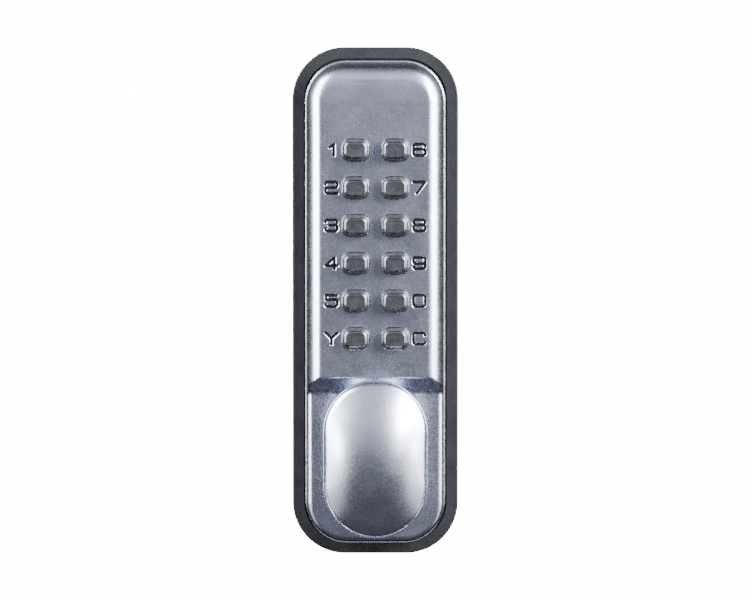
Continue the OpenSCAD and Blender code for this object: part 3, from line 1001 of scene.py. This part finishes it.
def pan_screw(name, x, z, back, seat, front, head_r, shank_r):
    """A pan-head screw driven in from the door side, with a cross recess in its head."""
    pitch, depth, neck = 0.6, 0.16, seat + 1.5
    profile = [(head_r * 0.55, back), (head_r * 0.86, back + 0.18), (head_r, back + 0.6)]
    profile += [(head_r, seat), (shank_r, seat), (shank_r, neck)]
    profile += thread(shank_r, neck, front - 0.8, pitch, depth)
    profile += [(shank_r - depth, front - 0.6), (shank_r * 0.35, front)]
    screw = turned(name, profile, x, z, 28)
    long, wide = head_r * 0.62, head_r * 0.2
    recess = [(-0.05, back - 0.5), (0.0, back), (wide * 0.5, back + 0.75)]
    cut(screw, [
        stacked("arm", w, h, wide * 0.4, recess, 3, x, z) for w, h in ((long, wide), (wide, long))
    ])
    return screw


def screws(node, head_r, shank_r, seat):
    """The screws of one node, one at each corner of its box."""
    place = Place(node)
    cx, top, bottom = place.x1 - head_r, place.z1 - head_r, place.z0 + head_r
    parts = [
        pan_screw(node, x, z, place.back, seat, place.front, head_r, shank_r)
        for x in (-cx, cx)
        for z in (bottom, top)
    ]
    finish_piece(joined(node + "_set", parts), "screw_steel", "housing", node, angle=35.0)


def fixing_post(name):
    """A round post with two waist grooves, a chamfered mouth and an M5 thread in its bore."""
    place = Place(name)
    r, mouth = place.half_w, place.back
    bore_end = mouth + 14.0
    profile = [(r, place.front), (r, mouth + 0.5), (r - 0.5, mouth), (2.7, mouth)]
    profile.append((2.45, mouth + 0.25))
    profile += thread(2.5, mouth + 0.4, bore_end - 0.8, 0.8, 0.38)
    profile += [(2.1, bore_end - 0.7), (2.1, bore_end), (0.05, bore_end + 1.2)]
    piece = turned("post", profile, place.x, place.z, 40)
    grooves = []
    for out in (mouth + 2.0, mouth + 5.0):
        section = [(r + 1, out), (r + 1, out + 0.35), (r - 0.25, out + 0.35), (r - 0.25, out)]
        grooves.append(turned("waist", section, place.x, place.z, 40, looped=True))
    cut(piece, grooves)
    piece.name = name + "_turned"
    finish_piece(piece, "turned_steel", "housing", name, angle=30.0)


def spindle():
    """A square bar with chamfered ends and two snap-off notches round it."""
    chamfer, notch = 0.6, 0.45
    profile = [(chamfer, SPINDLE.back), (0.0, SPINDLE.back + chamfer)]
    for reach in (12.0, 22.0):
        out = SPINDLE.back + reach
        profile += [(0.0, out - 0.5), (notch, out - 0.15), (notch, out + 0.15), (0.0, out + 0.5)]
    profile += [(0.0, SPINDLE.front - chamfer), (chamfer, SPINDLE.front)]
    piece = stacked("square_bar", SPINDLE.half_w, SPINDLE.half_w, 0.5, profile, 4)
    finish_piece(piece, "zinc_steel", "knob", "spindle", angle=35.0)


# ---------------------------------------------------------------- build


EASED_NODES = (
    ("back_plate", "zinc_steel", "housing", 0.15),
    ("chamber", "cast_brass", "housing", 0.15),
    ("chamber_plate", "sheet_brass", "housing", 0.12),
    ("knob_bush", "cast_brass", "housing", 0.12),
    ("code_slide", "sheet_brass", "code_slide", 0.1),
    ("clear_slide", "sheet_brass", "clear_slide", 0.1),
    ("knob_shaft", "turned_steel", "knob", 0.12),
    ("knob_pin", "screw_steel", "knob", 0.15),
    ("knob_washer", "nylon_washer", "knob", 0.08),
    ("circlip", "spring_steel", "knob", 0.08),
    ("drive_disc", "zinc_steel", "knob", 0.15),
    ("drive_pin", "screw_steel", "knob", 0.12),
    ("spindle_hub", "turned_steel", "knob", 0.2),
)


def build():
    """Every piece of the lock, from the cover inwards."""
    cover()
    gasket()
    for key in KEYS:
        button(key)
        button_spring(key)
        eased("tumbler_" + key, "sheet_brass", "button_" + key, 0.1)
    knob()
    return_spring()
    clear_spring()
    screws("back_plate_screws", head_r=2.4, shank_r=1.5, seat=2.5)
    screws("chamber_screws", head_r=2.1, shank_r=1.2, seat=3.6)
    fixing_post("fixing_post_upper")
    fixing_post("fixing_post_lower")
    spindle()
    for node, look, body, width in EASED_NODES:
        eased(node, look, body, width)


# ---------------------------------------------------------------- studio

# distances in metres
CAMERA_DISTANCE = 1.3
CAMERA_RISE = math.radians(3.1)
CAMERA_AIM = Vector((-0.0001, -GASKET.front * MM, (GASKET.z + 0.28) * MM))
VIEW_WIDTH = 221.85 * MM
SENSOR_WIDTH = 36.0

# name, azimuth from straight ahead to the right, rise, distance, width, height and radiance
LIGHTS = (
    ("left_box", -67, 22, 0.8, 0.6, 0.86, 21.0),
    ("right_box", 67, 23, 0.8, 0.5, 0.86, 21.0),
    ("right_graded", 43, 24, 0.82, 0.28, 0.8, 3.5),
    ("left_low", -58, -24, 0.8, 0.36, 0.36, 1.2),
    ("right_low", 60, -22, 0.8, 0.4, 0.36, 1.5),
    ("key", 42, 20, 0.9, 0.26, 0.34, 65.0),
    ("back_fill", 180, -26, 1.3, 1.0, 0.6, 2.2),
)

# the surroundings' brightness as (share, level): from the front to the back, and from below to above
SEEN_GLOW = 16.0
TINT = (0.93, 0.975, 1.12)
DEPTH_TONES = ((0.0, 0.95), (0.2, 0.9), (0.44, 0.3), (0.72, 0.15), (0.9, 0.13), (1.0, 0.3))
RISE_TONES = (
    (0.0, 0.1), (0.05, 0.1), (0.12, 0.07), (0.42, 0.08), (0.5, 0.2), (0.6, 0.65), (0.67, 1.05),
    (0.85, 0.9), (0.92, 0.3), (1.0, 0.06),
)

TABLE_R = 400
TABLE_THICK = 4
TABLE_DROP = 90


def camera():
    """Long lens, almost square on, from slightly above the middle of the plate."""
    data = bpy.data.cameras.new("camera")
    view = bpy.data.objects.new("camera", data)
    way = Vector((0, -math.cos(CAMERA_RISE), math.sin(CAMERA_RISE)))
    view.location = CAMERA_AIM + way * CAMERA_DISTANCE
    view.rotation_euler = (CAMERA_AIM - view.location).to_track_quat("-Z", "Y").to_euler()
    data.sensor_width = SENSOR_WIDTH
    data.lens = SENSOR_WIDTH * CAMERA_DISTANCE / VIEW_WIDTH
    data.clip_start = 0.05
    bpy.context.scene.collection.objects.link(view)
    bpy.context.scene.camera = view


def softbox(name, azimuth, rise, distance, width, height, radiance):
    """A rectangular light that faces the lock, hidden from the camera."""
    data = bpy.data.lights.new(name, "AREA")
    data.shape = "RECTANGLE"
    data.size, data.size_y = width, height
    data.energy = radiance * math.pi * width * height
    light = bpy.data.objects.new(name, data)
    turn, lift = math.radians(azimuth), math.radians(rise)
    ahead = math.cos(turn) * math.cos(lift)
    way = Vector((math.sin(turn) * math.cos(lift), -ahead, math.sin(lift)))
    light.location = Vector((0, 0, GASKET.z * MM)) + way * distance
    light.rotation_euler = (-way).to_track_quat("-Z", "Y").to_euler()
    light.visible_camera = False
    bpy.context.scene.collection.objects.link(light)


def tones(nodes, links, source, levels):
    """Bluish grey that follows (position, level) pairs."""
    colours = nodes.new("ShaderNodeValToRGB")
    stops = colours.color_ramp.elements
    while len(stops) < len(levels):
        stops.new(0.5)
    for stop, (position, level) in zip(stops, levels):
        stop.position = position
        stop.color = (*(level * share for share in TINT), 1)
    links.new(source, colours.inputs["Fac"])
    return colours.outputs["Color"]


def surroundings():
    """White on every side to the camera; the lock sees graded tones, brightest in front and above."""
    world = bpy.data.worlds.new("studio")
    bpy.context.scene.world = world
    world.use_nodes = True
    nodes, links = world.node_tree.nodes, world.node_tree.links
    nodes.clear()
    output = nodes.new("ShaderNodeOutputWorld")
    seen, lit = nodes.new("ShaderNodeBackground"), nodes.new("ShaderNodeBackground")
    seen.inputs["Color"].default_value = (1, 1, 1, 1)
    seen.inputs["Strength"].default_value = SEEN_GLOW
    path = nodes.new("ShaderNodeLightPath")
    mix = nodes.new("ShaderNodeMixShader")
    coords = nodes.new("ShaderNodeTexCoord")
    split = nodes.new("ShaderNodeSeparateXYZ")
    links.new(coords.outputs["Generated"], split.inputs[0])
    depth = ranged(nodes, links, split.outputs["Y"], 0.0, 1.0, -1.0, 1.0)
    rise = ranged(nodes, links, split.outputs["Z"], 0.0, 1.0, -1.0, 1.0)
    links.new(tones(nodes, links, depth, DEPTH_TONES), lit.inputs["Color"])
    links.new(tones(nodes, links, rise, RISE_TONES), lit.inputs["Strength"])
    links.new(path.outputs["Is Camera Ray"], mix.inputs["Fac"])
    links.new(lit.outputs["Background"], mix.inputs[1])
    links.new(seen.outputs["Background"], mix.inputs[2])
    links.new(mix.outputs["Shader"], output.inputs["Surface"])


def pale_table(name):
    """Pale matt board for the floor."""
    material, nodes, links, shader = new_material(name)
    paper = ramp(nodes, links, noise(nodes, links, 30.0), (0.78, 0.78, 0.77), (0.84, 0.84, 0.83))
    links.new(paper, shader.inputs["Base Color"])
    shader.inputs["Roughness"].default_value = 0.6
    return material


def floor():
    """A round pale table well below the lock, out of the main view and out of its mirrors."""
    piece = turned("table", [(TABLE_R, TABLE_THICK), (TABLE_R, 0)], steps=96)
    piece.rotation_euler = (math.radians(-90), 0, 0)
    piece.location = (0, 0, (GASKET.z0 - TABLE_DROP) * MM)
    piece.visible_glossy = False
    piece.data.materials.append(pale_table("pale_table"))


build()
camera()
surroundings()
for light_row in LIGHTS:
    softbox(*light_row)
floor()
